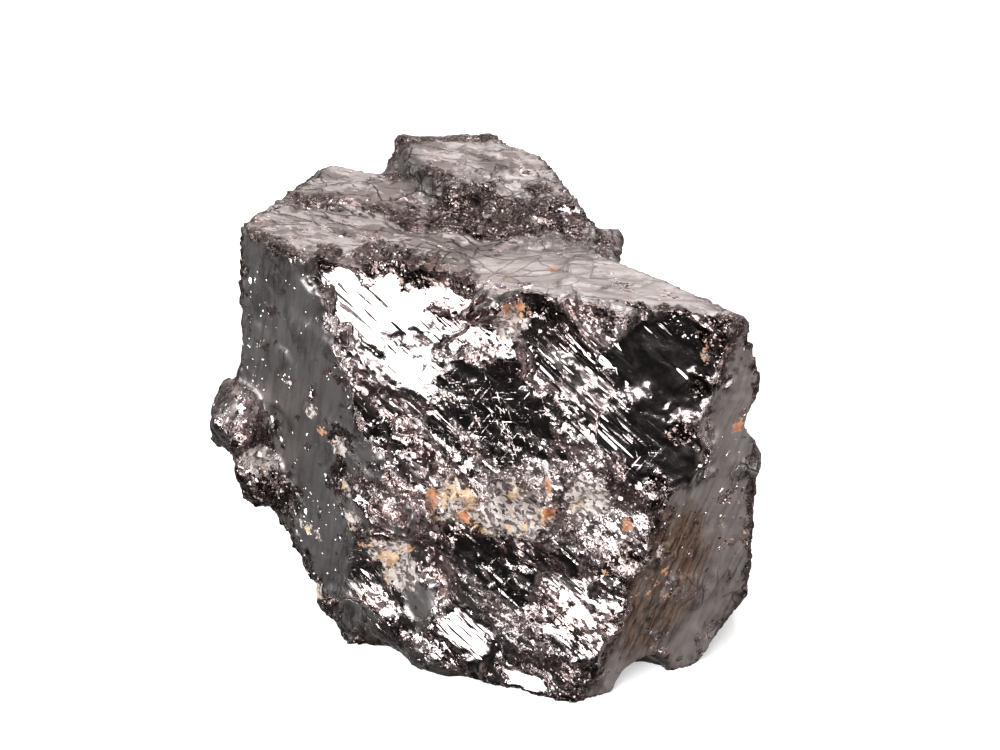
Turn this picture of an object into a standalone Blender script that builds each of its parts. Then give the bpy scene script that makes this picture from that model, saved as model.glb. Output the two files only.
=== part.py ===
"""A chunk of lustrous black shungite rock, one solid, standing on its broken foot.

The chunk is made as such a rock breaks. A block is cut out by flat fracture faces, a higher slab and
some knobs grow out of it, and shell-shaped chips are taken off it. The whole surface then gets its
lumps and its small broken plates, the mesh is thinned to what the shape needs, and the foot is cut
flat.

Places are in millimetres on the rock as it stands: +X to the right, +Y to the back, +Z up.
A way of facing is a turn and a lean in degrees: turn 0 faces the front, 90 the right and 180 the
back, and lean 0 is upright, 90 faces up and -90 down.
"""

import math
import random

import bmesh
import bpy
from mathutils import Matrix, Vector, noise

MM = 0.001

# Driving dimensions: the finished rock fills this box.
WIDTH = 50.4 * MM
DEPTH = 33.2 * MM
HEIGHT = 42.5 * MM

ROCK_NAME = "shungite_rock"
TRIANGLES = 9000
REMESH_VOXEL = 0.5
BLANK_SIZE = 120.0
ROUGH_FOOT = -0.6

# The fracture faces of the main block: a point on the face, its turn and its lean.
BLOCK_FACES = {
    "underside": ((0.0, 0.0, -1.5), 0, -90),
    "front": ((8.2, -16.5, 0.0), -10.5, 11),
    "front_low_left": ((-6.0, -9.6, 0.0), -28, -4),
    "shoulder": ((-14.0, -5.4, 37.4), -17, 27),
    "left": ((-14.4, -5.0, 37.5), -44, 0),
    "left_edge": ((-23.2, 2.0, 32.0), -84, 2),
    "left_undercut": ((-23.0, 3.0, 14.7), -84, -32),
    "right": ((8.2, -16.5, 0.0), 30, -4.6),
    "right_edge": ((24.3, -9.0, 18.0), 94, 0),
    "right_undercut": ((21.6, -8.7, 2.2), 80, -36),
    "top": ((-21.4, 0.0, 38.8), 4, 85.5),
    "top_right": ((18.0, -8.6, 37.6), 49, 81),
    "back_right": ((17.0, -7.0, 37.4), 143, 17),
    "back": ((-4.0, 14.6, 30.0), 176, 3),
    "back_low": ((2.0, 13.6, 8.0), 168, -24),
    "back_left": ((-18.2, 8.2, 39.5), -122, 5),
    "back_left_low": ((-17.0, 9.0, 10.0), -132, -28),
}

# The slab that stands higher at the back of the top.
SLAB_FACES = {
    "front_step": ((-4.0, 4.0, 40.0), -14, 34),
    "left_step": ((-6.6, 10.0, 40.4), -62, 36),
    "right_step": ((9.6, 1.6, 40.0), 112, 18),
    "top": ((-2.0, 8.0, 41.7), -20, 84),
    "back": ((-2.0, 14.9, 40.0), 179, -3),
    "back_right": ((8.8, 7.6, 40.0), 136, 12),
    "under": ((0.0, -4.0, 31.0), 0, -58),
}

# Knobs that grow out of the block: middle, half sizes, and a seed for the cuts that shape them.
KNOBS = {
    "left_bump": ((-22.0, 2.2, 19.4), (3.6, 4.4, 3.6), 3),
    "left_bump_low": ((-20.2, 1.2, 13.8), (3.2, 4.0, 3.8), 8),
    "left_heel": ((-13.4, -3.0, 4.2), (2.4, 2.8, 2.8), 12),
    "right_bump": ((21.6, -6.0, 21.0), (3.2, 4.4, 4.4), 5),
    "right_heel": ((17.0, -9.4, 2.0), (2.2, 2.2, 2.8), 21),
    "pale_band": ((4.6, -11.4, 17.4), (8.0, 2.8, 3.4), 7),
    "pale_band_left": ((-5.6, -9.2, 16.4), (4.6, 2.6, 2.8), 31),
    "front_lip": ((-2.0, -9.8, 1.4), (5.0, 2.2, 2.4), 15),
    "top_flap": ((-12.6, 9.0, 38.6), (4.8, 5.0, 1.8), 17),
    "top_right_lobe": ((8.0, -0.8, 37.8), (4.4, 4.4, 1.6), 19),
    "top_chip_plate": ((-0.6, -7.6, 36.6), (4.4, 3.0, 2.2), 41),
    "back_knob": ((7.0, 7.6, 12.0), (9.0, 6.0, 8.0), 23),
    "back_ridge": ((11.0, 4.6, 30.0), (4.0, 5.0, 6.0), 37),
    "back_left_knob": ((-14.6, 9.4, 20.0), (5.6, 4.6, 7.0), 27),
}

# Shell-shaped chips: a point on the surface, the way it faces, the chip's radius and its depth.
CHIPS = {
    "dark_dish": ((15.2, -11.9, 30.6), (-8, 12), 9.0, 1.1),
    "middle_dish": ((1.4, -10.4, 25.4), (-12, 8), 9.0, 1.1),
    "front_dish": ((8.6, -11.6, 24.6), (-14, 16), 6.0, 0.7),
    "under_band": ((3.2, -13.4, 11.6), (-8, -2), 6.0, 1.7),
    "under_band_left": ((-5.4, -9.8, 10.6), (-20, -4), 4.6, 1.0),
    "left_dish": ((-9.4, -8.2, 7.4), (-28, 0), 6.0, 0.8),
    "edge_chip_1": ((-8.4, -6.2, 37.6), (-14, 50), 4.6, 1.1),
    "edge_chip_2": ((-3.4, -8.2, 37.6), (-8, 56), 4.4, 1.4),
    "edge_chip_3": ((3.8, -9.6, 37.2), (-6, 48), 3.6, 0.8),
    "edge_chip_4": ((9.2, -9.4, 37.6), (0, 60), 3.4, 0.8),
    "top_valley": ((-5.6, 3.6, 39.6), (-20, 66), 4.0, 1.8),
    "top_rough": ((-0.6, 1.2, 39.0), (0, 80), 6.0, 1.0),
    "top_hollow": ((4.6, -4.0, 38.4), (10, 80), 9.0, 0.8),
    "left_neck": ((-23.4, 2.8, 25.2), (-84, 4), 3.6, 1.1),
    "right_neck": ((24.2, -8.8, 25.6), (94, 8), 3.0, 1.3),
    "right_brow": ((16.2, -7.2, 38.2), (140, 50), 9.0, 1.0),
    "foot_arch": ((14.0, -12.6, 0.6), (30, -50), 3.6, 1.4),
    "foot_arch_left": ((-9.6, -7.8, 0.8), (-30, -50), 3.0, 0.9),
    "back_scoop": ((-6.0, 14.8, 21.0), (178, 4), 22.0, 1.2),
    "back_scoop_low": ((2.0, 13.4, 6.0), (164, -20), 12.0, 1.1),
    "back_right_scoop": ((18.0, -3.4, 24.0), (136, 17), 20.0, 1.2),
    "back_left_scoop": ((-17.6, 9.8, 27.0), (-124, 4), 18.0, 1.2),
}

# Relief: the size and the height of each layer, in millimetres.
WARP = (9.0, 1.2)
LUMPS = (7.0, 0.55)
PLATES = (4.6, 0.42)
SMALL_PLATES = (2.3, 0.20)
PLATE_TILT = 0.16

# The broken plates run along the grain of the rock. They stand out most on the front and the back.
GRAIN = Vector((0.74, 0.10, -0.66))
GRAIN_STRETCH = 1.7
SMOOTH_SHARE = 0.45
NOISE_SEED = 7

FACE_COLOR = (0.055, 0.052, 0.052, 1.0)
FACE_ROUGHNESS = 0.28
FACE_METALLIC = 0.85


def clear_scene():
    for item in list(bpy.data.objects):
        bpy.data.objects.remove(item)


def new_collection(name):
    group = bpy.data.collections.new(name)
    bpy.context.scene.collection.children.link(group)
    return group


def facing(turn, lean):
    """The unit direction of a turn and a lean."""
    turn, lean = math.radians(turn), math.radians(lean)
    level = math.cos(lean)
    return Vector((math.sin(turn) * level, -math.cos(turn) * level, math.sin(lean)))


def cut_face(shape, point, outward):
    """Breaks off all that lies beyond a flat face, and closes the face."""
    whole = shape.verts[:] + shape.edges[:] + shape.faces[:]
    cut = bmesh.ops.bisect_plane(
        shape, geom=whole, plane_co=point, plane_no=outward, clear_outer=True
    )
    rim = [item for item in cut["geom_cut"] if isinstance(item, bmesh.types.BMEdge)]
    if rim:
        bmesh.ops.edgeloop_fill(shape, edges=rim)


def object_of(shape, name, group):
    """Turns a shape in millimetres into an object in a collection."""
    bmesh.ops.recalc_face_normals(shape, faces=shape.faces[:])
    mesh = bpy.data.meshes.new(name)
    shape.to_mesh(mesh)
    shape.free()
    item = bpy.data.objects.new(name, mesh)
    group.objects.link(item)
    return item


def helper_object(shape, name, group):
    """A shape that only joins or cuts the rock, so it isn't part of the model."""
    item = object_of(shape, name, group)
    item.hide_render = True
    item.display_type = "WIRE"
    return item


def fractured_block(faces):
    """A block bounded by its named fracture faces."""
    shape = bmesh.new()
    bmesh.ops.create_cube(shape, size=BLANK_SIZE)
    for point, turn, lean in faces.values():
        cut_face(shape, point, facing(turn, lean))
    return shape


def knob(middle, half_sizes, seed):
    """A small chunk: a box broken by flats that face at random, with the given half sizes."""
    cuts = 26
    draw = random.Random(seed)
    shape = bmesh.new()
    bmesh.ops.create_cube(shape, size=2.0)
    for _ in range(cuts):
        outward = facing(draw.uniform(-180, 180), draw.uniform(-75, 75))
        cut_face(shape, outward * draw.uniform(0.80, 0.96), outward)
    bmesh.ops.scale(shape, vec=half_sizes, verts=shape.verts[:])
    bmesh.ops.translate(shape, vec=middle, verts=shape.verts[:])
    return shape


def chip_cutter(point, way, radius, depth):
    """A ball that reaches the depth of the chip below the surface."""
    shape = bmesh.new()
    middle = Vector(point) + facing(*way) * (radius - depth)
    place = Matrix.Translation(middle)
    bmesh.ops.create_icosphere(shape, subdivisions=4, radius=radius, matrix=place)
    return shape


def add_boolean(rock, other, operation):
    modifier = rock.modifiers.new(f"{operation.lower()}_{other.name}", "BOOLEAN")
    modifier.operation = operation
    modifier.solver = "EXACT"
    modifier.object = other


def assembled_rock(model, cutters):
    """The block with its slab and knobs joined on, its chips taken off, and an even mesh."""
    rock = object_of(fractured_block(BLOCK_FACES), ROCK_NAME, model)
    add_boolean(rock, helper_object(fractured_block(SLAB_FACES), "slab", cutters), "UNION")
    for name, (middle, half_sizes, seed) in KNOBS.items():
        add_boolean(rock, helper_object(knob(middle, half_sizes, seed), name, cutters), "UNION")
    for name, (point, way, radius, depth) in CHIPS.items():
        cutter = helper_object(chip_cutter(point, way, radius, depth), name, cutters)
        add_boolean(rock, cutter, "DIFFERENCE")
    even = rock.modifiers.new("even_mesh", "REMESH")
    even.mode = "VOXEL"
    even.voxel_size = REMESH_VOXEL
    return rock


def bake_modifiers(rock):
    """Gives the rock the mesh that its modifiers make."""
    graph = bpy.context.evaluated_depsgraph_get()
    mesh = bpy.data.meshes.new_from_object(rock.evaluated_get(graph))
    rock.modifiers.clear()
    rock.data = mesh


def along_grain(point):
    """The point in a space squeezed along the grain, so what is round there is long on the rock."""
    return point - GRAIN * (point.dot(GRAIN) * (1 - 1 / GRAIN_STRETCH))


def plates(point, size, height):
    """Flat plates beside each other, each with its own height and tilt."""
    place = point / size
    middle = noise.voronoi(place)[1][0]
    level = noise.noise(middle * 5.3) * 2
    tilt = noise.noise_vector(middle * 3.7)
    return level * height + PLATE_TILT * size * tilt.dot(place - middle)


def relief(point, outward):
    """How far the surface stands out at a point, in millimetres."""
    warp_size, warp_height = WARP
    lump_size, lump_height = LUMPS
    bent = point + warp_height * noise.noise_vector(point / warp_size)
    lumps = lump_height * noise.noise(bent / lump_size)
    broken = plates(along_grain(bent), *PLATES) + plates(along_grain(bent), *SMALL_PLATES)
    rough = outward.dot(facing(-8, 12)) ** 2
    return lumps + broken * (SMOOTH_SHARE + (1 - SMOOTH_SHARE) * rough)


def raise_relief(rock):
    """Moves each point of the mesh along its normal by the relief there."""
    noise.seed_set(NOISE_SEED)
    shape = bmesh.new()
    shape.from_mesh(rock.data)
    shape.normal_update()
    moves = [vert.normal * relief(vert.co, vert.normal) for vert in shape.verts]
    for vert, move in zip(shape.verts, moves):
        vert.co += move
    shape.to_mesh(rock.data)
    shape.free()


def thin_mesh(rock):
    """Merges the small faces until the rock has no more triangles than it needs."""
    rock.data.calc_loop_triangles()
    modifier = rock.modifiers.new("thin", "DECIMATE")
    modifier.ratio = min(1.0, TRIANGLES / len(rock.data.loop_triangles))
    bake_modifiers(rock)


def cut_foot(rock, level):
    """Cuts the rock flat at a height, and closes the flat."""
    shape = bmesh.new()
    shape.from_mesh(rock.data)
    cut_face(shape, Vector((0, 0, level)), facing(0, -90))
    shape.to_mesh(rock.data)
    shape.free()


def fit_to_size(rock):
    """Fits the rock to its width, depth and height, with the middle of its foot at the origin."""
    shape = bmesh.new()
    shape.from_mesh(rock.data)
    lows = Vector([min(vert.co[axis] for vert in shape.verts) for axis in range(3)])
    highs = Vector([max(vert.co[axis] for vert in shape.verts) for axis in range(3)])
    foot_middle = Vector(((lows.x + highs.x) / 2, (lows.y + highs.y) / 2, lows.z))
    stretch = [full / size for full, size in zip((WIDTH, DEPTH, HEIGHT), highs - lows)]
    bmesh.ops.translate(shape, vec=-foot_middle, verts=shape.verts[:])
    bmesh.ops.scale(shape, vec=stretch, verts=shape.verts[:])
    shape.to_mesh(rock.data)
    shape.free()
    print("natural size", highs - lows, "middle of the foot", foot_middle)


def rock_material():
    material = bpy.data.materials.new("shungite")
    material.use_nodes = True
    shader = material.node_tree.nodes["Principled BSDF"]
    shader.inputs["Base Color"].default_value = FACE_COLOR
    shader.inputs["Roughness"].default_value = FACE_ROUGHNESS
    shader.inputs["Metallic"].default_value = FACE_METALLIC
    return material


def main():
    clear_scene()
    rock = assembled_rock(new_collection("shungite"), new_collection("cutters"))
    bake_modifiers(rock)
    raise_relief(rock)
    cut_foot(rock, ROUGH_FOOT)
    thin_mesh(rock)
    cut_foot(rock, 0.0)
    fit_to_size(rock)
    rock.data.materials.clear()
    rock.data.materials.append(rock_material())


main()
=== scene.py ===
# %% [markdown]
# # A chunk of elite shungite
#
# Elite shungite is nearly pure carbon. It breaks like glass, into shells and flat faces, and it has
# the lustre of graphite: some faces are black mirrors, others are satin grey. This notebook takes the
# plain solid of such a chunk and gives it its skin, from the broken plates that can be felt with a
# fingertip down to the flakes that only sparkle.
#
# The first cell loads the solid. It is the fixed frame that everything here is fitted to.

import math
from types import SimpleNamespace

import bmesh
import bpy
import numpy as np
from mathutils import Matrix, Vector, noise


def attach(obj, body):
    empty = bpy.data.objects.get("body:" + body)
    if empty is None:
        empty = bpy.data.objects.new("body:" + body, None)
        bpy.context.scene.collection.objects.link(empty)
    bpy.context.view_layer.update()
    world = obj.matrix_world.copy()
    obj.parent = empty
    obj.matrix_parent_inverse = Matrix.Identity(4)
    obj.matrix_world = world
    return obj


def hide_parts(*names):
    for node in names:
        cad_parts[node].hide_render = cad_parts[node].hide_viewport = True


MM = 0.001
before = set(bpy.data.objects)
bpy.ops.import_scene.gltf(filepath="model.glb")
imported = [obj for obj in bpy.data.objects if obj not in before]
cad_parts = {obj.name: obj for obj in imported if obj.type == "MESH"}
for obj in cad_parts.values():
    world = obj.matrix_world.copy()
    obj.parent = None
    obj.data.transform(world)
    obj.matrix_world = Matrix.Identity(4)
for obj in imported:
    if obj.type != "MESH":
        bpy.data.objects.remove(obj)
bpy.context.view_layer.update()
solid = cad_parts["shungite_rock"]

# %% [markdown]
# ## How the chunk faces
#
# A rock has no axes of its own, so ways of facing are given as a turn and a lean in degrees, as one
# would hold the stone in the hand. Turn 0 faces the front, 90 the right and 180 the back. Lean 0 is
# upright and 90 faces up.


# %% Ways of facing
def facing(turn, lean):
    """The unit direction of a turn and a lean."""
    turn, lean = math.radians(turn), math.radians(lean)
    level = math.cos(lean)
    return Vector((math.sin(turn) * level, -math.cos(turn) * level, math.sin(lean)))


print("the front faces", facing(0, 0))

# %% [markdown]
# ## The camera
#
# A small stone is shown with a long lens from a little way off, so that its near and far edges keep
# their true proportions. The camera looks down on it, because the top is the calmest of its faces.

# %% Camera
CAMERA_LEAN = 28.4
CAMERA_DISTANCE = 320 * MM
CAMERA_LENS = 123.84
CAMERA_AIM = Vector((1.7, 5.2, 22.0)) * MM


def make_camera():
    camera = bpy.data.objects.new("camera", bpy.data.cameras.new("camera"))
    bpy.context.scene.collection.objects.link(camera)
    toward = facing(0, CAMERA_LEAN)
    camera.location = CAMERA_AIM + toward * CAMERA_DISTANCE
    camera.rotation_euler = (-toward).to_track_quat("-Z", "Y").to_euler()
    camera.data.lens = CAMERA_LENS
    camera.data.clip_start = 0.01
    bpy.context.scene.camera = camera
    return camera


print("camera at", make_camera().location)

# %% [markdown]
# ## The skin
#
# The solid has the large forms: the block, its ledges and its knobs. Its flat triangles are far
# bigger than the plates and flakes of the real break. So a copy of it is merged and covered with an
# even net of small faces, which the relief can then push in and out. A voxel remesh gives such a net
# at once, and a little smoothing takes away the steps that it leaves.

# %% An even net over the solid
NET_STEP = 0.31 * MM
NET_SMOOTHING = 3


def merged_copy(node, name):
    """A copy of a node's mesh as one closed surface."""
    shape = bmesh.new()
    shape.from_mesh(node.data)
    bmesh.ops.remove_doubles(shape, verts=shape.verts[:], dist=1e-6)
    mesh = bpy.data.meshes.new(name)
    shape.to_mesh(mesh)
    shape.free()
    piece = bpy.data.objects.new(name, mesh)
    bpy.context.scene.collection.objects.link(piece)
    return piece


def apply_modifiers(piece):
    graph = bpy.context.evaluated_depsgraph_get()
    mesh = bpy.data.meshes.new_from_object(piece.evaluated_get(graph))
    piece.modifiers.clear()
    piece.data = mesh


stone = merged_copy(solid, "stone_skin")
net = stone.modifiers.new("net", "REMESH")
net.mode = "VOXEL"
net.voxel_size = NET_STEP
soften = stone.modifiers.new("soften", "SMOOTH")
soften.factor = 0.5
soften.iterations = NET_SMOOTHING
apply_modifiers(stone)
print("net of", len(stone.data.polygons), "faces")

# %% [markdown]
# ## The faces of the chunk
#
# Each large fracture face broke in its own way. The front is the freshest: glassy, full of small
# plates and streaks. The top and the sides are old joints, satin and nearly smooth.
#
# For each face: a point on it in millimetres, its turn and lean, how far it reaches from the point,
# and its finish, which is how satin it is, how broken, how flat, and which way its grain runs.

# %% The large faces
GRAINS = {
    "down": Vector((0.74, 0.10, -0.66)),
    "up": Vector((0.36, 0.12, 0.92)),
    "level": Vector((0.95, -0.31, -0.05)),
    "slant": Vector((0.76, -0.65, -0.03)),
}
FACES = {
    "front": ((8.5, -16.6, 0.0), -10.5, 11, 60, (0.0, 1.0, 0.6, "down")),
    "front_low_left": ((-5.7, -9.7, 0.0), -28, -4, 60, (0.2, 1.0, 0.0, "down")),
    "left": ((-14.1, -5.1, 37.5), -44, 0, 60, (1.0, 0.05, 0.95, "up")),
    "left_edge": ((-22.9, 1.9, 32.0), -84, 2, 60, (0.6, 0.7, 0.3, "up")),
    "left_undercut": ((-22.7, 2.9, 14.7), -84, -32, 60, (0.2, 1.0, 0.0, "up")),
    "right": ((8.5, -16.6, 0.0), 30, -4.6, 60, (1.0, 0.1, 0.8, "up")),
    "right_edge": ((24.6, -9.1, 18.0), 94, 0, 60, (0.9, 0.5, 0.3, "up")),
    "right_undercut": ((21.9, -8.8, 2.2), 80, -36, 60, (0.8, 0.6, 0.2, "up")),
    "top": ((-21.1, -0.1, 38.8), 4, 85.5, 60, (1.0, 0.5, 0.3, "level")),
    "top_right": ((18.3, -8.7, 37.6), 49, 81, 60, (1.0, 0.3, 0.6, "slant")),
    "slab_top": ((-1.7, 7.9, 41.7), -20, 84, 14, (1.0, 0.4, 0.6, "level")),
    "slab_front": ((-3.7, 3.9, 40.0), -14, 34, 14, (0.2, 1.2, 0.0, "level")),
    "slab_right": ((9.9, 1.5, 40.0), 112, 18, 14, (0.7, 0.8, 0.2, "level")),
    "back_right": ((17.3, -7.1, 37.4), 143, 17, 60, (0.6, 0.8, 0.2, "up")),
    "back": ((-3.7, 14.5, 30.0), 176, 3, 60, (0.3, 0.9, 0.0, "down")),
    "back_low": ((2.3, 13.5, 8.0), 168, -24, 60, (0.4, 0.9, 0.0, "down")),
    "back_left": ((-17.9, 8.1, 39.5), -122, 5, 60, (0.8, 0.5, 0.4, "up")),
    "back_left_low": ((-16.7, 8.9, 10.0), -132, -28, 60, (0.5, 0.9, 0.0, "up")),
    "foot": ((0.0, 0.0, 0.0), 0, -90, 60, (0.8, 0.2, 0.6, "level")),
}
print(len(FACES), "large faces")

# %% [markdown]
# ## From faces to points
#
# A point of the skin belongs to the face whose plane it is nearest to, and near an edge it belongs a
# little to both. So its finish is a mean over the faces, in which each counts less the farther its
# plane is. The grain is laid flat on each face, so that streaks run along the face and not into it.
# Where no face is near there is rubble.

# %% Finish at each point
RUBBLE = (0.1, 1.7)
RUBBLE_AWAY = 1.0
FACE_BLEND = 0.30
FLAT_REACH = 1.2
FAR = 99.0


def off_face(points, middle, turn, lean, reach):
    """How far points are off a face's plane, or far off where the face doesn't reach."""
    away = points - np.array(middle)
    off = away @ np.array(facing(turn, lean))
    return np.where(np.linalg.norm(away, axis=1) < reach, off, FAR)


def laid_on(name, outward):
    """A grain laid flat on a face, so that streaks run along the face and not into it."""
    grain = np.array(GRAINS[name])
    grain = grain - (grain @ outward) * outward
    return grain / np.linalg.norm(grain)


def face_finish(points):
    """The finish at each point in millimetres, its grain, and the move that flattens a flat face."""
    count = len(points)
    share = np.full(count, math.exp(-RUBBLE_AWAY / FACE_BLEND))
    total = share.copy()
    satin, broken = share * RUBBLE[0], share * RUBBLE[1]
    grain, pull, nearest = np.zeros((count, 3)), np.zeros((count, 3)), np.full(count, FAR)
    for middle, turn, lean, reach, finish in FACES.values():
        off = off_face(points, middle, turn, lean, reach)
        outward = np.array(facing(turn, lean))
        share = np.exp(-np.abs(off) / FACE_BLEND)
        near = np.exp(-((off / FLAT_REACH) ** 2))
        total += share
        satin += share * finish[0]
        broken += share * finish[1]
        pull -= (share * near * off * finish[2])[:, None] * outward
        grain[np.abs(off) < nearest] = laid_on(finish[3], outward)
        nearest = np.minimum(nearest, np.abs(off))
    return satin / total, broken / total, grain, pull / total[:, None]


SAMPLES = {"front": (3.0, -12.0, 18.0), "top": (-10.0, 2.0, 38.9), "corner": (8.5, -16.6, 0.0)}
sample_points = np.array(list(SAMPLES.values()))
print("how satin three points are:", dict(zip(SAMPLES, face_finish(sample_points)[0].round(2).tolist())))

# %% [markdown]
# ## Chipped edges
#
# Where two faces meet at an angle, crumbs broke out of the edge between them. A point is on an edge
# when the planes of both faces are near. The edges of broken faces are chipped the most.

# %% Chipped edges
EDGE_REACH = 1.7
EDGE_COSINE = 0.8
EDGE_SATIN = 0.8


def face_edges(points):
    """How chipped points are: up to 1 on an edge of a broken face, and less between satin faces."""
    planes = [
        (np.array(facing(turn, lean)), np.abs(off_face(points, middle, turn, lean, reach)), finish[1])
        for middle, turn, lean, reach, finish in FACES.values()
    ]
    chipped = np.zeros(len(points))
    for first, (one, near_one, broken_one) in enumerate(planes):
        for other, near_other, broken_other in planes[:first]:
            if one @ other < EDGE_COSINE:
                near = np.exp(-(near_one + near_other) / EDGE_REACH)
                most_broken = max(broken_one, broken_other)
                chipped = np.maximum(chipped, near * (EDGE_SATIN + (1 - EDGE_SATIN) * most_broken))
    return chipped


print("how chipped they are:", dict(zip(SAMPLES, face_edges(sample_points).round(2).tolist())))

# %% [markdown]
# ## Broken plates
#
# Under a lens the break is a pavement of flat plates, each tilted a little its own way, longer along
# the grain than across it. A cell pattern gives the plates: every point finds its nearest cell
# middle, takes that cell's height, and follows that cell's tilt.

# %% Plates along the grain
NOISE_SEED = 11
GRAIN_STRETCH = 2.2
noise.seed_set(NOISE_SEED)


def along_grain(point, grain):
    """The point in a space squeezed along the grain, so what is round there is long on the rock."""
    return point - grain * (point.dot(grain) * (1 - 1 / GRAIN_STRETCH))


def plates(point, size, height, tilt):
    """Flat plates, each with its own height and tilt."""
    place = point / size
    middle = noise.voronoi(place)[1][0]
    level = noise.noise(middle * 5.3)
    lean = noise.noise_vector(middle * 3.7) * tilt
    return level * height + size * lean.dot(place - middle)


print("a plate stands out by", round(plates(Vector(SAMPLES["front"]), 1.7, 0.16, 0.3), 3), "mm")

# %% [markdown]
# ## Ledges
#
# The satin faces have no plates. They have thin sheets that end in small steps, like the grain of
# planed wood. A smooth noise rounded down to a few levels gives flat sheets with steps between them.


# %% Ledges on the satin faces
def ledges(point, size, height, steps):
    """Flat sheets with small steps between them."""
    level = noise.noise(point / size) * steps
    tread = math.floor(level)
    along = level - tread
    return height * (tread + along**6)


print("a sheet stands out by", round(ledges(Vector(SAMPLES["top"]), 5.0, 0.06, 5), 3), "mm")

# %% [markdown]
# ## Spots
#
# Some places have a colour or a roughness of their own. Painting them by hand would tie them to one
# mesh, so each spot is a middle in millimetres, a reach and a strength. They are stored on the skin
# as soft stains, and the material later gives them their crisp ragged borders.
#
# The first spots are of rust, where water stood in the cracks, and of the brown film at the right.

# %% Rust and brown film
RUST = {
    "band_left": ((-4.4, -10.8, 18.6), 1.3, 0.7),
    "band_hole_left": ((-1.7, -13.6, 17.6), 1.3, 0.85),
    "band_hole_right": ((6.1, -13.6, 18.1), 0.9, 0.9),
    "band_yellow": ((6.0, -12.4, 20.2), 1.2, 0.7),
    "lump": ((-8.2, -8.4, 9.8), 1.2, 0.6),
    "lump_top": ((-6.4, -8.8, 12.0), 0.8, 0.8),
    "front_facet": ((3.0, -9.0, 36.0), 2.0, 0.7),
    "top_crack": ((6.4, -4.2, 37.8), 2.2, 0.5),
    "top_crack_left": ((1.7, -6.0, 37.9), 1.9, 0.45),
    "top_rough": ((0.4, 2.4, 39.0), 2.6, 0.3),
    "left_grain": ((-20.4, -1.2, 15.6), 0.7, 0.8),
    "left_sliver": ((-14.4, -4.7, 21.6), 0.8, 0.75),
    "left_belt": ((-10.8, -8.0, 11.6), 0.7, 0.8),
    "right_knob": ((22.7, -10.6, 25.5), 0.9, 1.0),
    "corner": ((20.1, -12.0, 33.4), 2.2, 0.5),
    "edge_middle": ((13.0, -13.6, 16.8), 0.8, 0.8),
    "edge_low": ((11.1, -14.1, 12.6), 0.8, 0.7),
    "right_stain": ((16.4, -13.6, 10.4), 3.8, 0.48),
    "right_back": ((22.3, -10.1, 14.6), 4.0, 0.4),
    "back_stain": ((4.0, 14.0, 16.0), 4.0, 0.45),
    "back_stain_left": ((-14.0, 10.0, 26.0), 3.0, 0.45),
}
BROWN = {
    "right_stain": ((16.4, -13.6, 13.4), 6.0, 1.3),
    "right_stain_low": ((15.2, -13.8, 7.4), 4.8, 1.2),
    "top_edge": ((-4.0, -6.0, 37.6), 5.0, 0.5),
    "top_rough": ((0.4, 2.4, 39.0), 6.0, 0.35),
    "corner": ((19.6, -11.6, 34.4), 3.0, 0.6),
    "back_stain": ((4.0, 14.0, 16.0), 8.0, 0.6),
}
print(len(RUST), "spots of rust and", len(BROWN), "of brown film")

# %% [markdown]
# ## Quartz and crumbled places
#
# A band of pale quartz grains crosses the front, with a lump of amber quartz below it on the left.
# Other places are crumbled: the front's top edge, the step behind it, the chipped corners and the
# knobs.

# %% Quartz
PALE = {
    "band_middle": ((2.6, -13.9, 18.2), 4.2, 0.8),
    "band_left": ((-2.6, -12.6, 18.4), 3.2, 0.7),
    "band_right": ((9.6, -13.0, 19.2), 2.4, 0.95),
    "front_lens": ((2.8, -9.6, 34.9), 1.8, 0.9),
    "lump": ((-8.4, -8.5, 11.2), 2.0, 1.4),
    "lump_low": ((-7.8, -8.8, 8.8), 1.8, 1.3),
    "left_grain": ((-20.6, -1.0, 16.4), 1.5, 1.2),
    "left_sliver": ((-15.4, -3.7, 23.2), 1.2, 0.66),
    "left_fringe": ((-12.9, -6.2, 20.8), 1.5, 0.66),
    "left_fringe_low": ((-12.4, -6.6, 17.2), 1.3, 0.62),
    "left_belt": ((-11.6, -7.2, 14.0), 1.4, 0.66),
    "left_line_top": ((-16.9, -2.0, 10.7), 0.8, 0.7),
    "left_line": ((-15.9, -2.9, 10.4), 0.8, 0.7),
    "left_line_low": ((-14.9, -3.8, 10.2), 0.8, 0.7),
    "heel": ((-15.1, -4.0, 4.0), 0.9, 0.9),
    "back_grain": ((10.0, 8.0, 22.0), 2.4, 0.7),
}
print(len(PALE), "spots of quartz")

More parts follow.
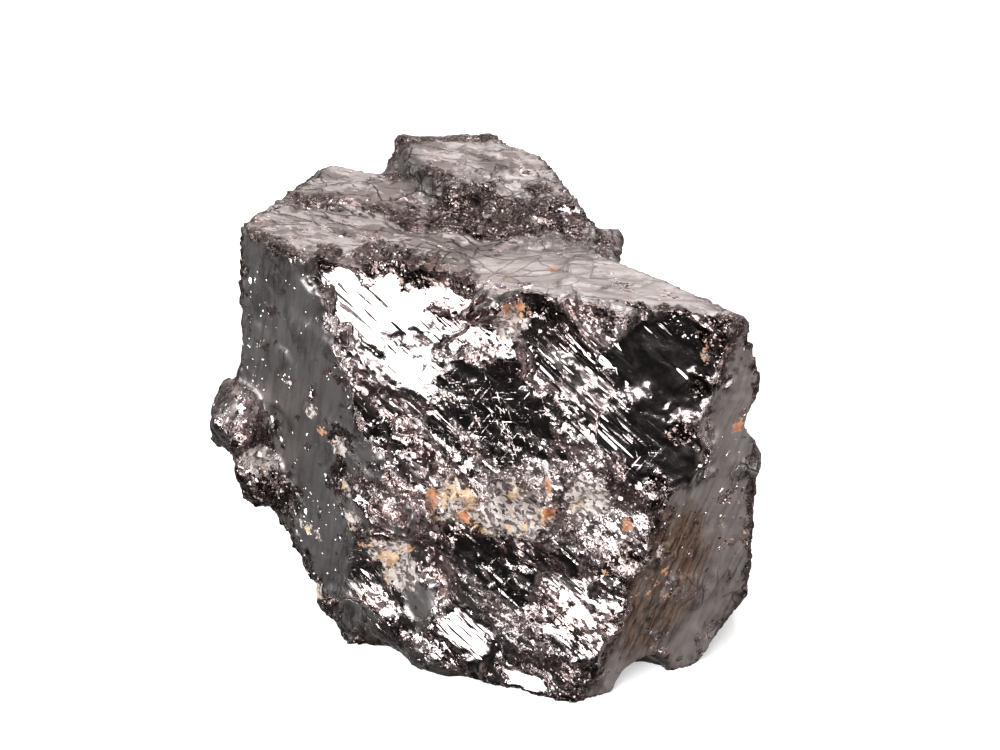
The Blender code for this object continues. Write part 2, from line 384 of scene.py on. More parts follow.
# %% Crumbled places
ROUGH = {
    "left_top_edge": ((-18.0, -1.0, 38.4), 1.5, 0.75),
    "top_edge_left": ((-13.6, -2.4, 38.6), 2.0, 0.95),
    "top_edge": ((-9.2, -2.9, 38.5), 2.6, 1.1),
    "top_edge_middle": ((-5.4, -4.4, 38.2), 2.6, 1.1),
    "top_edge_right": ((-1.4, -6.4, 37.8), 1.6, 0.85),
    "front_top": ((6.0, -9.0, 36.0), 1.6, 0.8),
    "front_top_right": ((11.0, -10.0, 35.8), 1.6, 0.8),
    "top_gully": ((-7.0, 4.0, 39.4), 2.6, 0.8),
    "top_middle": ((-2.4, 3.9, 39.1), 3.8, 1.0),
    "top_middle_right": ((2.4, 2.6, 38.8), 3.4, 1.0),
    "slab_step": ((5.6, 5.0, 40.4), 2.6, 0.75),
    "slab_front": ((0.6, 5.6, 41.0), 2.0, 0.7),
    "corner": ((20.1, -11.6, 35.4), 2.0, 1.0),
    "edge_top": ((19.2, -12.1, 30.4), 1.5, 0.9),
    "edge_high": ((17.6, -12.8, 26.0), 1.5, 0.9),
    "edge_middle": ((15.6, -13.6, 21.0), 1.5, 0.9),
    "edge_low": ((13.0, -14.4, 15.0), 1.3, 0.8),
    "left_fringe": ((-12.6, -6.4, 21.6), 2.2, 0.9),
    "left_fringe_low": ((-12.6, -6.4, 17.4), 2.4, 0.95),
    "left_belt": ((-11.2, -7.6, 13.2), 1.6, 0.85),
    "left_knob": ((-20.6, -0.6, 18.6), 2.6, 0.8),
    "left_low": ((-19.4, -0.8, 12.6), 3.8, 1.0),
    "left_foot": ((-14.6, -3.4, 3.4), 2.4, 0.8),
    "right_knob": ((22.6, -8.0, 22.6), 2.4, 0.7),
}
print(len(ROUGH), "crumbled places")

# %% [markdown]
# ## Bright places
#
# Sparkling places are dusted with painted glints, white specks painted into the colour, streaked
# ones carry bundles of parallel streaks, and scratched ones fine lines that cross.

# %% Sparkles, streaks and scratches
# Where glints are painted: white specks painted into the colour, in clusters.
SPARKLING = {
    "left_margin": ((-21.8, 1.4, 30.0), 5.0, 1.0),
    "left_margin_low": ((-20.6, 0.2, 23.0), 4.0, 1.0),
    "left": ((-17.4, -2.0, 28.0), 9.0, 0.30),
    "left_low": ((-16.0, -3.0, 14.0), 6.0, 0.6),
    "right": ((20.0, -11.8, 24.0), 8.0, 0.25),
}
STREAKED = {
    "above_middle": ((8.6, -10.6, 31.6), 5.0, 1.0),
    "beside_oval": ((10.4, -11.6, 26.4), 3.6, 1.0),
    "middle": ((1.4, -9.8, 26.0), 4.0, 0.5),
    "left_of_middle": ((-3.6, -8.6, 26.6), 3.0, 0.9),
    "low_left": ((-2.0, -12.0, 5.6), 4.0, 1.0),
    "heel": ((-10.6, -7.6, 6.0), 3.4, 0.9),
    "under_band": ((7.6, -13.4, 12.0), 3.6, 0.8),
}
SCRATCHED = {
    "middle": ((1.0, -10.4, 25.6), 4.6, 1.0),
    "middle_left": ((-3.2, -9.6, 28.4), 3.0, 0.8),
    "oval_low": ((14.0, -13.0, 23.6), 2.2, 0.6),
    "under_band": ((2.4, -13.0, 11.0), 3.2, 0.8),
}
print(len(SPARKLING), "sparkling places,", len(STREAKED), "streaked and", len(SCRATCHED), "scratched")

# %% [markdown]
# ## From spots to stains
#
# A stain fades with the distance from the middle of its spot. Where spots of one kind overlap the
# strongest counts, because two touching patches of rust are no redder than one.

# %% Stains
SPOTS = {
    "rust": RUST,
    "brown": BROWN,
    "pale": PALE,
    "rough": ROUGH,
    "sparkling": SPARKLING,
    "streaked": STREAKED,
    "scratched": SCRATCHED,
}


def stain(points, spots):
    """How much each point in millimetres lies in the strongest of a set of spots."""
    strongest = np.zeros(len(points))
    for middle, reach, strength in spots.values():
        away = np.linalg.norm(points - np.array(middle), axis=1) / reach
        strongest = np.maximum(strongest, strength * np.exp(-(away**2)))
    return strongest


print(sum(map(len, SPOTS.values())), "named spots of", len(SPOTS), "kinds")

# %% [markdown]
# ## Facets
#
# Within the large faces lie smaller facets, where the rock split along one flat sheet. On the
# glassy front, which of them flash white and which stay black depends on their tilt alone, so each
# has its turn and lean. A calm facet is a clean mirror, a lively one is crossed by plates and
# flakes. A wide lively facet comes first where calm ones of the same tilt share it, so that no dark
# moat is left between them.
#
# For each facet: its middle in millimetres, turn, lean and reach, and how satin and calm it is.

# %% Facets
FACETS = {
    "top_middle": ((5.6, -5.4, 38.2), 4, 85, 4.8, 1.0, 0.5),
    "top_wing": ((13.4, -7.4, 38.2), 49, 81, 4.4, 1.0, 0.58),
    "top_wing_tip": ((17.8, -9.0, 37.6), 49, 81, 2.8, 1.0, 0.6),
    "white_field": ((-5.4, -7.4, 32.4), -18, 26, 6.2, 0.0, 0.36),
    "streaks": ((-1.8, -8.2, 33.8), -18, 26, 3.6, 0.0, 0.42),
    "shoulder": ((-9.4, -5.7, 35.6), -18, 27, 4.2, 0.0, 1.0),
    "left_middle": ((-6.0, -8.5, 24.4), -15, 23, 2.8, 0.0, 0.25),
    "above_band": ((-3.4, -9.8, 21.6), -14, 17, 2.8, 0.0, 0.3),
    "triangle": ((-5.4, -7.9, 29.4), -18, 26, 2.2, 0.0, 1.0),
    "middle": ((1.4, -9.8, 26.0), -6, 6, 4.6, 0.0, 0.52),
    "oval": ((15.7, -11.2, 31.6), -8, 9, 4.0, 0.0, 1.0),
    "oval_low": ((15.2, -12.8, 25.0), -8, 9, 3.6, 0.0, 0.8),
    "left_patch": ((-10.4, -8.6, 21.2), -44, 0, 1.5, 1.0, 1.0),
    "left_patch_low": ((-11.4, -7.6, 15.2), -42, 0, 1.7, 1.0, 1.0),
    "left_lens": ((-8.4, -9.0, 15.6), -20, 19, 2.1, 0.0, 0.3),
    "low_patch": ((-6.3, -9.5, 7.4), -42, 4, 2.1, 1.0, 1.0),
    "beside_band": ((12.2, -13.6, 16.0), -12, 22, 3.0, 0.0, 0.25),
    "under_band": ((2.4, -12.4, 11.4), -8, 6, 3.8, 0.0, 0.5),
    "low_left": ((-1.4, -12.2, 5.0), -16, 28, 2.3, 0.0, 0.8),
    "low_right": ((9.8, -15.1, 7.4), -14, 26, 4.2, 0.0, 0.44),
    "lip": ((3.6, -15.0, 1.2), -15, 28, 1.7, 0.0, 0.6),
}
print(len(FACETS), "facets")

# %% [markdown]
# ## Press the facets
#
# A facet presses the skin onto a plane of its tilt. Cutting it out would leave a sharp round border,
# so the press fades over a narrow ragged rim instead. A facet is a little longer along the grain
# than across it, and it leaves alone the skin that faces another way.

# %% Pressed facets
FACET_RIM = 0.25
FACET_COSINE = 0.60
FACET_COSINE_RIM = 0.02
FACET_DEPTH = 3.0
FACET_LIFT = 1.8
FACET_LENGTHENING = 0.3
RAGGED = ((2.4, 1.6), (0.8, 0.8))


def share_inside(distance, rim):
    """1 well inside a border, 0 well outside it, and smooth across its rim."""
    return 1 / (1 + np.exp(np.clip(distance / rim, -30, 30)))


def press_facets(points, normals, satin, grain):
    """Presses the points onto the facets. Returns them with their satin, calm and grain."""
    calm = np.zeros(len(points))
    ragged = np.array(
        [sum(noise.noise(Vector(p) / size) * reach for size, reach in RAGGED) for p in points]
    )
    for middle, turn, lean, reach, facet_satin, facet_calm in FACETS.values():
        outward = np.array(facing(turn, lean))
        way = laid_on("down", outward)
        away = points - np.array(middle)
        off = away @ outward
        flat = away - off[:, None] * outward
        flat = flat - FACET_LENGTHENING * (flat @ way)[:, None] * way
        distance = np.linalg.norm(flat, axis=1) + ragged - reach
        inside = share_inside(distance, FACET_RIM) * (np.abs(off) < FACET_DEPTH)
        inside = inside * share_inside(FACET_COSINE - normals @ outward, FACET_COSINE_RIM)
        off = np.maximum(off - (off * inside).sum() / inside.sum(), -FACET_LIFT)
        points = points - (off * inside)[:, None] * outward
        satin = satin + (facet_satin - satin) * inside
        calm = calm + (facet_calm - calm) * inside
        grain[inside > 0.5] = way
    return points, satin, calm, grain


print("a facet's rim is pressed by", share_inside(np.array([-0.5, 0.0, 0.5]), FACET_RIM).round(2))

# %% [markdown]
# ## The relief of one point
#
# The relief adds up plates of two sizes, ledges on the satin, and crusts of small plates on quartz
# and on crumbled places. The point is bent by a noise first, so that no plate has a straight border.
#
# For each layer of plates: its size, height and tilt.

# %% Relief of one point
PLATES = ((2.6, 0.17, 0.24), (1.1, 0.11, 0.32))
CRUST = ((0.9, 0.22, 0.5), (0.6, 0.12, 0.5))
CHIPPED = ((0.8, 0.22, 0.45),)
WARP = (2.0, 0.6)
LEDGES = (3.0, 0.06, 5)
FAINT = 0.05


def relief(point, grain, satin, broken, patchy, pale, rough):
    """How far the skin stands out at a point, in millimetres."""
    size, reach = WARP
    bent = point + reach * noise.noise_vector(point / size)
    stretched = along_grain(bent, grain)
    height = sum(plates(stretched, *layer) for layer in PLATES) * broken
    height += ledges(stretched, *LEDGES) * satin * patchy
    if pale > FAINT:
        height += sum(plates(bent, *layer) for layer in CRUST) * min(1, pale)
    if rough > FAINT:
        height += sum(plates(bent, *layer) for layer in CHIPPED) * min(1, rough)
    return height


raised = relief(Vector(SAMPLES["front"]), GRAINS["down"], 0, 1, 0, 0, 0)
print("a point of the front stands out by", round(raised, 3), "mm")

# %% [markdown]
# ## Raise the relief
#
# Every point of the net now moves along its normal by its relief. The same step stores the stains,
# the grain, and how satin and calm the place is, for the material. Patchy places are satin ones that
# are neither flat nor calm: only they show hairline cracks and dull patches.

# %% Relief and stains
EDGE_ROUGH = 0.85
EDGE_BROKEN = 1.3
CALM_FLATTENS = 0.9
PATCHY_GAIN = 3.0
PATCHY_LOSS = 0.5


def raise_relief(piece):
    """Moves the skin of a piece, and stores its stains."""
    mesh = piece.data
    flat = np.empty(len(mesh.vertices) * 3)
    mesh.vertices.foreach_get("co", flat)
    points = flat.reshape(-1, 3) / MM
    outward = np.array([vert.normal for vert in mesh.vertices])
    satin, broken, grain, pull = face_finish(points)
    points, satin, calm, grain = press_facets(points + pull, outward, satin, grain)
    stains = {name: stain(points, spots) for name, spots in SPOTS.items()}
    stains["satin"], stains["calm"] = satin, calm
    stains["patchy"] = np.clip(PATCHY_GAIN * broken - PATCHY_LOSS, 0, 1) * (1 - calm)
    edge = face_edges(points) * (1 - calm)
    stains["rough"] = np.maximum(stains["rough"], EDGE_ROUGH * edge)
    broken = np.maximum(broken * (1 - CALM_FLATTENS * calm), EDGE_BROKEN * stains["rough"])
    heights = [
        relief(Vector(point), Vector(way), *values)
        for point, way, *values in zip(
            points, grain, satin, broken, stains["patchy"], stains["pale"], stains["rough"]
        )
    ]
    points = points + outward * np.array(heights)[:, None]
    mesh.vertices.foreach_set("co", (points * MM).ravel())
    for name, values in stains.items():
        mesh.attributes.new(name, "FLOAT", "POINT").data.foreach_set("value", values)
    mesh.attributes.new("grain", "FLOAT_VECTOR", "POINT").data.foreach_set("vector", grain.ravel())
    mesh.polygons.foreach_set("use_smooth", [True] * len(mesh.polygons))
    mesh.update()


raise_relief(stone)
print("relief raised on", len(stone.data.vertices), "points")

# %% [markdown]
# ## Nodes with less typing
#
# A material is a tree of small nodes. These helpers add one node, set it up and wire its inputs in a
# single call, so that each material reads as a list of steps.


# %% Node helpers
def feed(tree, socket, value):
    """Wires a socket to another, or sets it to a plain value."""
    if isinstance(value, bpy.types.NodeSocket):
        tree.links.new(value, socket)
    else:
        socket.default_value = value


def node(tree, kind, inputs, **settings):
    """Adds a node with its settings, and feeds the inputs that are named or numbered."""
    made = tree.nodes.new(kind)
    for name, value in settings.items():
        setattr(made, name, value)
    for key, value in inputs.items():
        feed(tree, made.inputs[key], value)
    return made


def math_node(tree, operation, *values):
    return node(tree, "ShaderNodeMath", dict(enumerate(values)), operation=operation).outputs[0]


def vector_node(tree, operation, *values):
    made = node(tree, "ShaderNodeVectorMath", dict(enumerate(values)), operation=operation)
    return made.outputs["Value" if operation == "DOT_PRODUCT" else "Vector"]


def scaled(tree, vector, factor):
    made = node(tree, "ShaderNodeVectorMath", {0: vector, "Scale": factor}, operation="SCALE")
    return made.outputs["Vector"]


def new_group(name, inputs, outputs):
    """An empty node group with named sockets, and its two ends."""
    group = bpy.data.node_groups.new(name, "ShaderNodeTree")
    for title, kind in inputs.items():
        group.interface.new_socket(title, in_out="INPUT", socket_type=f"NodeSocket{kind}")
    for title, kind in outputs.items():
        group.interface.new_socket(title, in_out="OUTPUT", socket_type=f"NodeSocket{kind}")
    return group, group.nodes.new("NodeGroupInput"), group.nodes.new("NodeGroupOutput")


print("node helpers are ready")

# %% [markdown]
# ## Flakes
#
# What sparkles on the break are flakes too small to model. Each is a flat mirror with a tilt of its
# own, so from any one side only a few of them catch the light. The group below makes them as cells:
# every cell has a random colour, which is read as a direction to lean in. The lean is added to the
# normal of the surface, so that the whole flake faces one way and its border stays crisp. Only a
# share of the cells lean, so that a few streaks can lie on a clean mirror. In a bundle of streaks
# they all lean toward one side as well, and flash together.

# %% Flakes group
HALF = (0.5, 0.5, 0.5)


def flakes_group():
    """Cells of a size in millimetres. Puts out how each leans, and a random colour for each."""
    group, start, end = new_group(
        "flakes",
        {
            "Vector": "Vector",
            "Size": "Float",
            "Tilt": "Float",
            "Share": "Float",
            "Toward": "Vector",
        },
        {"Lean": "Vector", "Random": "Color"},
    )
    per_size = math_node(group, "DIVIDE", 1.0, start.outputs["Size"])
    place = scaled(group, start.outputs["Vector"], per_size)
    cells = node(group, "ShaderNodeTexVoronoi", {"Vector": place, "Scale": 1.0, "Randomness": 1.0})
    lean = vector_node(group, "SUBTRACT", cells.outputs["Color"], HALF)
    again = node(group, "ShaderNodeTexWhiteNoise", {"Vector": cells.outputs["Color"]})
    leaning = math_node(group, "LESS_THAN", again.outputs["Value"], start.outputs["Share"])
    lean = scaled(group, lean, start.outputs["Tilt"])
    lean = vector_node(group, "ADD", lean, start.outputs["Toward"])
    feed(group, end.inputs["Lean"], scaled(group, lean, leaning))
    feed(group, end.inputs["Random"], again.outputs["Color"])
    return group


FLAKES = flakes_group()


def flakes(tree, vector, size, tilt, share=1.0, toward=(0.0, 0.0, 0.0)):
    """Lean and random colour of a layer of flakes."""
    made = node(tree, "ShaderNodeGroup", {}, node_tree=FLAKES)
    values = {"Vector": vector, "Size": size, "Tilt": tilt, "Share": share, "Toward": toward}
    for key, value in values.items():
        feed(tree, made.inputs[key], value)
    return made.outputs["Lean"], made.outputs["Random"]


print("flakes group with", len(FLAKES.nodes), "nodes")

# %% [markdown]
# ## Cracks
#
# Dark hairlines run over the satin faces. They follow the borders between cells of a second pattern,
# which is bent by a noise so that no line stays straight, and a cloud hides most of them, because
# real cracks die out.


# %% Pattern helpers
def stepped(tree, value, low, high):
    """0 below the low value, 1 above the high one, and smooth between them."""
    inputs = {"Value": value, "From Min": low, "From Max": high}
    made = node(tree, "ShaderNodeMapRange", inputs, interpolation_type="SMOOTHSTEP")
    return made.outputs["Result"]


def cloud(tree, vector, scale, detail=2.0, roughness=0.5):
    """A soft noise between 0 and 1."""
    inputs = {"Vector": vector, "Scale": scale, "Detail": detail, "Roughness": roughness}
    return node(tree, "ShaderNodeTexNoise", inputs).outputs["Fac"]


def bent(tree, vector, scale, reach):
    """The vector shaken by a noise, for ragged borders."""
    shake = node(tree, "ShaderNodeTexNoise", {"Vector": vector, "Scale": scale, "Detail": 3.0})
    shake = vector_node(tree, "SUBTRACT", shake.outputs["Color"], HALF)
    return vector_node(tree, "ADD", vector, scaled(tree, shake, reach))


print("pattern helpers are ready")


# %% Cracks group
def cracks_group():
    """Hairlines between cells of a size in millimetres. Puts out 1 in a line and 0 beside it."""
    group, start, end = new_group(
        "cracks",
        {"Vector": "Vector", "Size": "Float", "Width": "Float", "Share": "Float"},
        {"Line": "Float"},
    )
    per_size = math_node(group, "DIVIDE", 1.0, start.outputs["Size"])
    place = bent(group, scaled(group, start.outputs["Vector"], per_size), 1.3, 0.45)
    cells = node(
        group, "ShaderNodeTexVoronoi", {"Vector": place, "Scale": 1.0}, feature="DISTANCE_TO_EDGE"
    )
    away = math_node(group, "MULTIPLY", cells.outputs["Distance"], start.outputs["Size"])
    line = math_node(group, "SUBTRACT", 1.0, math_node(group, "DIVIDE", away, start.outputs["Width"]))
    line = math_node(group, "MAXIMUM", line, 0.0)
    hidden = math_node(group, "SUBTRACT", 1.0, start.outputs["Share"])
    kept = math_node(group, "SUBTRACT", cloud(group, place, 0.7, 3.0), hidden)
    kept = stepped(group, kept, 0.0, 0.06)
    feed(group, end.inputs["Line"], math_node(group, "MULTIPLY", line, kept))
    return group


CRACKS = cracks_group()


def cracks(tree, vector, size, width, share):
    """A layer of hairlines."""
    made = node(tree, "ShaderNodeGroup", {}, node_tree=CRACKS)
    for key, value in {"Vector": vector, "Size": size, "Width": width, "Share": share}.items():
        feed(tree, made.inputs[key], value)
    return made.outputs["Line"]


print("cracks group with", len(CRACKS.nodes), "nodes")

# %% [markdown]
# ## Places and masks
#
# The next cells build the material in steps. First come the places to read the patterns at: in
# millimetres, and squeezed along the grain, so that what is round in a pattern is drawn out on the
# rock.

# %% Places
SHORT_STRETCH = 2.8
LONG_STRETCH = 9.0
LONGEST_STRETCH = 16.0


def squeezed(tree, vector, direction, stretch):
    """The vector squeezed along a direction, so that a round cell is drawn out along it."""
    along = vector_node(tree, "DOT_PRODUCT", vector, direction)
    back = scaled(tree, direction, math_node(tree, "MULTIPLY", along, 1 - 1 / stretch))
    return vector_node(tree, "SUBTRACT", vector, back)


def stone_places(tree):
    """The places to read patterns at: plain ones in millimetres, and three drawn out along the grain."""
    plain = scaled(tree, node(tree, "ShaderNodeTexCoord", {}).outputs["Object"], 1 / MM)
    grain = node(tree, "ShaderNodeAttribute", {}, attribute_name="grain").outputs["Vector"]
    short = squeezed(tree, bent(tree, plain, 0.9, 0.9), grain, SHORT_STRETCH)
    long = squeezed(tree, plain, grain, LONG_STRETCH)
    longest = squeezed(tree, plain, grain, LONGEST_STRETCH)
    return SimpleNamespace(plain=plain, grain=grain, short=short, long=long, longest=longest)


print("patterns are read in millimetres,", round(1 / MM), "to the metre")

# %% [markdown]
# ## Patches and masks
#
# Many details are patches: a cloud that is cut off below one value and full above another. The masks
# are patches that were placed one by one. Each soft stain that the relief stored gets a border shaken
# by a noise, and the satin is pitted.
#
# For each kind of patch: the scale, detail and roughness of its cloud, and the two values. For each
# border: the scale of its noise, how far it shakes, and the two values.

# %% Patches and borders
PATCHES = {
    "pits": (0.45, 5.0, 0.65, 0.585, 0.61),
    "streaky": (0.16, 2.0, 0.5, 0.42, 0.52),
    "brownish": (0.30, 3.0, 0.5, 0.40, 0.62),
    "dull": (0.40, 6.0, 0.65, 0.505, 0.525),
    "dashes": (1.7, 4.0, 0.7, 0.60, 0.66),
    "fibres": (3.4, 4.0, 0.7, 0.40, 0.58),
    "amber": (0.5, 4.0, 0.5, 0.55, 0.62),
    "orange": (2.2, 2.0, 0.5, 0.42, 0.58),
    "clusters": (0.30, 4.0, 0.65, 0.45, 0.60),
}
BORDERS = {
    "satin": (1.2, 0.5, 0.46, 0.54),
    "calm": (0.9, 1.1, 0.42, 0.52),
    "rough": (0.9, 1.2, 0.45, 0.60),
    "pale": (1.5, 1.7, 0.42, 0.50),
    "rust": (1.1, 1.9, 0.52, 0.66),
    "brown": (0.5, 1.0, 0.3, 0.9),
    "streaked": (0.7, 1.0, 0.40, 0.60),
}
BORDER_DETAIL = (5.0, 0.65)


def patches(tree, vector, name):
    """Patches of one kind, 1 inside and 0 outside."""
    scale, detail, roughness, low, high = PATCHES[name]
    return stepped(tree, cloud(tree, vector, scale, detail, roughness), low, high)


def stored(tree, name):
    """A value that was stored on the points of the skin."""
    return node(tree, "ShaderNodeAttribute", {}, attribute_name=name).outputs["Fac"]


def ragged(tree, vector, name):
    """A stored stain with a crisp ragged border."""
    scale, spread, low, high = BORDERS[name]
    border = math_node(tree, "SUBTRACT", cloud(tree, vector, scale, *BORDER_DETAIL), 0.5)
    border = math_node(tree, "MULTIPLY", border, spread)
    return stepped(tree, math_node(tree, "ADD", stored(tree, name), border), low, high)


print(len(PATCHES), "kinds of patches and", len(BORDERS), "ragged borders")


# %% Masks
def product(tree, total, *others):
    for other in others:
        total = math_node(tree, "MULTIPLY", total, other)
    return total


def stone_masks(tree, at):
    """Where the stone is satin, calm, rough and so on, as values from 0 to 1."""
    satin = ragged(tree, at.plain, "satin")
    pits = product(tree, patches(tree, at.plain, "pits"), satin)
    satin = math_node(tree, "SUBTRACT", satin, pits)
    return SimpleNamespace(
        satin=satin,
        pits=pits,
        patchy=product(tree, satin, stored(tree, "patchy")),
        calm=ragged(tree, at.short, "calm"),
        rough=ragged(tree, at.plain, "rough"),
        quartz=ragged(tree, at.plain, "pale"),
        rust=ragged(tree, at.plain, "rust"),
        brown=ragged(tree, at.plain, "brown"),
        streaked=ragged(tree, at.short, "streaked"),
    )


print("stains for the masks:", ", ".join(SPOTS))

# %% [markdown]
# ## Leaning flakes
#
# Five layers of flakes lie over each other, from plates of two millimetres down to dust. The plates
# lean a little everywhere. The chips, splinters and dust lean only where the break is wild, so not
# on satin or calm places, and less on plates that came out polished. The streaks are long and thin,
# and lie in bundles. Fine scratches cross the scratched places in three directions of their own.
#
# For each layer: its size in millimetres, its tilt and its share of cells that lean.


# %% Mixing helpers
def mixed_value(tree, share, first, second):
    """The first value, and a share of the second one in it."""
    return node(tree, "ShaderNodeMix", {0: share, 2: first, 3: second}).outputs[0]


def largest(tree, total, *others):
    for other in others:
        total = math_node(tree, "MAXIMUM", total, other)
    return total


def weighed(tree, *pairs):
    """The sum of values, each times its weight."""
    total = 0.0
    for value, weight in pairs:
        total = node(tree, "ShaderNodeMath", {0: value, 1: weight, 2: total}, operation="MULTIPLY_ADD")
        total = total.outputs[0]
    return total


def without(tree, value, share=1.0):
    """What is left of 1 when a share of the value is taken away."""
    return weighed(tree, (value, -share), (1.0, 1.0))


def added(tree, *pairs):
    """The sum of vectors, each times its weight."""
    total = (0.0, 0.0, 0.0)
    for vector, weight in pairs:
        total = vector_node(tree, "ADD", total, scaled(tree, vector, weight))
    return total


def channels(tree, color):
    return node(tree, "ShaderNodeSeparateColor", {"Color": color}).outputs


print("mixing helpers are ready")

# %% Sizes of flakes
PLATE_FLAKES = (2.4, 0.30)
CHIP_FLAKES = (0.75, 0.68, 0.7)
SPLINTER_FLAKES = (0.30, 0.95, 0.6)
DUST_FLAKES = (0.15, 1.0, 0.45)
STREAK_FLAKES = (0.17, 1.0)
STREAK_SHARES = (0.13, 0.50)
STREAK_LEAN = (-0.06, 0.0, 0.22)
SCRATCH_FLAKES = (0.075, 0.8, 0.16)
SCRATCH_LEAN = (-0.04, 0.0, 0.10)
SCRATCH_WAYS = ((0.60, 0.05, 0.80), (0.98, -0.18, 0.06), (-0.26, 0.14, 0.95))
SCRATCH_STRETCH = 24.0


def scratch_lean(tree, at):
    """The lean of fine scratches in every one of their directions."""
    total = (0.0, 0.0, 0.0)
    for way in SCRATCH_WAYS:
        drawn = squeezed(tree, at.plain, way, SCRATCH_STRETCH)
        total = vector_node(tree, "ADD", total, flakes(tree, drawn, *SCRATCH_FLAKES, SCRATCH_LEAN)[0])
    return total


print("flakes from", PLATE_FLAKES[0], "mm down to", DUST_FLAKES[0], "mm")


# %% Layers of flakes
def stone_flakes(tree, at, mask):
    """The lean of all flakes, the random colours of the layers, and which plates are polished."""
    plate_lean, plate = flakes(tree, at.short, *PLATE_FLAKES)
    chip_lean, chip = flakes(tree, at.short, *CHIP_FLAKES)
    drawn = squeezed(tree, bent(tree, at.plain, 3.0, 0.25), at.grain, 1.8)
    splinter_lean, splinter = flakes(tree, drawn, *SPLINTER_FLAKES)
    dust_lean, dust = flakes(tree, at.plain, *DUST_FLAKES)
    streak_share = mixed_value(tree, mask.streaked, *STREAK_SHARES)
    bundled = scaled(tree, STREAK_LEAN, mask.streaked)
    streak_lean, _ = flakes(tree, at.longest, *STREAK_FLAKES, streak_share, bundled)
    plate = channels(tree, plate)
    polish = stepped(tree, plate[1], 0.66, 0.70)
    dusty = stepped(tree, plate[2], 0.28, 0.38)
    streaky = patches(tree, at.short, "streaky")
    wild = product(
        tree,
        without(tree, mask.satin, 0.97),
        without(tree, mask.calm, 0.95),
        without(tree, polish, 0.6),
        without(tree, mask.streaked, 0.75),
    )
    frayed = product(tree, mask.brown, 0.22)
    wild = largest(tree, wild, mask.rough, mask.quartz, mask.pits, frayed)
    glassy = product(tree, without(tree, mask.satin, 0.97), without(tree, mask.calm, 0.35))
    still = largest(tree, mask.satin, mask.calm)
    lean = added(
        tree,
        (plate_lean, without(tree, still, 0.85)),
        (chip_lean, wild),
        (splinter_lean, wild),
        (streak_lean, product(tree, glassy, largest(tree, streaky, mask.streaked))),
        (dust_lean, product(tree, dusty, wild)),
        (scratch_lean(tree, at), product(tree, stored(tree, "scratched"), glassy)),
    )
    chip, splinter, dust = (channels(tree, layer) for layer in (chip, splinter, dust))
    return SimpleNamespace(lean=lean, polish=polish, chip=chip, splinter=splinter, dust=dust)


print("a streak is about", round(STREAK_FLAKES[0] * LONGEST_STRETCH, 1), "mm long")

# %% [markdown]
# ## Fine relief
#
# On top of the lean comes a bump of a few hundredths of a millimetre, for what no fingertip feels:
# a fine grain, fine lines along it, and the hairline cracks, which are cut in.
#
# For each kind of crack: the size of its cells, its width and its share that shows. Heights are in
# millimetres too.

# %% Fine relief
WIDE_CRACKS = (5.0, 0.10, 0.54)
NARROW_CRACKS = (1.1, 0.08, 0.52)
NARROW_STRETCH = 3.5
FINE_HEIGHT = 0.016
LINE_HEIGHT = 0.012
CRACK_HEIGHT = -0.05


def stone_hairlines(tree, at, mask):
    """Cracks of two sizes on the patchy places."""
    drawn = squeezed(tree, at.plain, at.grain, NARROW_STRETCH)
    wide, narrow = cracks(tree, at.plain, *WIDE_CRACKS), cracks(tree, drawn, *NARROW_CRACKS)
    return product(tree, largest(tree, wide, narrow), mask.patchy)


def stone_normal(tree, at, lean, hairline):
    """The normal that leans with the flakes and follows the fine relief."""
    outward = node(tree, "ShaderNodeNewGeometry", {}).outputs["Normal"]
    leaning = vector_node(tree, "NORMALIZE", vector_node(tree, "ADD", outward, lean))
    fine = cloud(tree, at.short, 2.0, 4.0, 0.6)
    lines = cloud(tree, at.long, 2.6, 3.0, 0.6)
    height = weighed(tree, (fine, FINE_HEIGHT), (lines, LINE_HEIGHT), (hairline, CRACK_HEIGHT))
    height = product(tree, height, MM)
    bump = node(tree, "ShaderNodeBump", {"Height": height, "Distance": 1.0, "Normal": leaning})
    return bump.outputs["Normal"]


print("fine relief of", FINE_HEIGHT + LINE_HEIGHT, "mm, and cracks of", -CRACK_HEIGHT, "mm")

# %% [markdown]
# ## Colours
#
# The glassy break is a warm dark grey, in places browner. The satin is lighter, with dull patches
# and strokes along the grain. Rough places are dark brown with small bright specks, which are
# painted glints. A brown film lies on the satin in fibres. Quartz is a mixture of pale and dark
# grains with some amber in it, and rust goes from red to orange.

# %% Colours
STONE_GREY = (0.315, 0.270, 0.265, 1.0)
BROWN_GREY = (0.27, 0.20, 0.19, 1.0)
SATIN_GREY = (0.36, 0.335, 0.328, 1.0)
DULL = (0.40, 0.365, 0.355, 1.0)
ROUGH_BROWN = (0.088, 0.065, 0.060, 1.0)
# Grey of the painted sparks on rough places: glints painted into the colour.
PAINTED_SPARK_GREY = (0.41, 0.36, 0.35, 1.0)
RUST_FILM = (0.25, 0.165, 0.12, 1.0)
RUST_FILM_DARK = (0.075, 0.046, 0.036, 1.0)
QUARTZ = (0.39, 0.34, 0.315, 1.0)
QUARTZ_DARK = (0.085, 0.068, 0.062, 1.0)
AMBER = (0.47, 0.33, 0.21, 1.0)
RUST_RED = (0.30, 0.085, 0.03, 1.0)
RUST_ORANGE = (0.36, 0.17, 0.08, 1.0)
# White of the painted glints: specks painted into the colour, not reflections.
PAINTED_GLINT_WHITE = (0.80, 0.76, 0.73, 1.0)
CRACK_BLACK = (0.02, 0.015, 0.013, 1.0)
print("the satin is lighter than the break by", round(SATIN_GREY[1] - STONE_GREY[1], 3))


# %% The colour of the carbon
def mixed(tree, share, first, second):
    """The first colour, and a share of the second one in it."""
    inputs = {0: share, 6: first, 7: second}
    return node(tree, "ShaderNodeMix", inputs, data_type="RGBA").outputs[2]


def dimmed(tree, share, color):
    """The colour where it is clean, and dimmed where it is dull."""
    inputs = {0: share, 6: color, 7: DULL}
    made = node(tree, "ShaderNodeMix", inputs, data_type="RGBA", blend_type="MULTIPLY")
    return made.outputs[2]


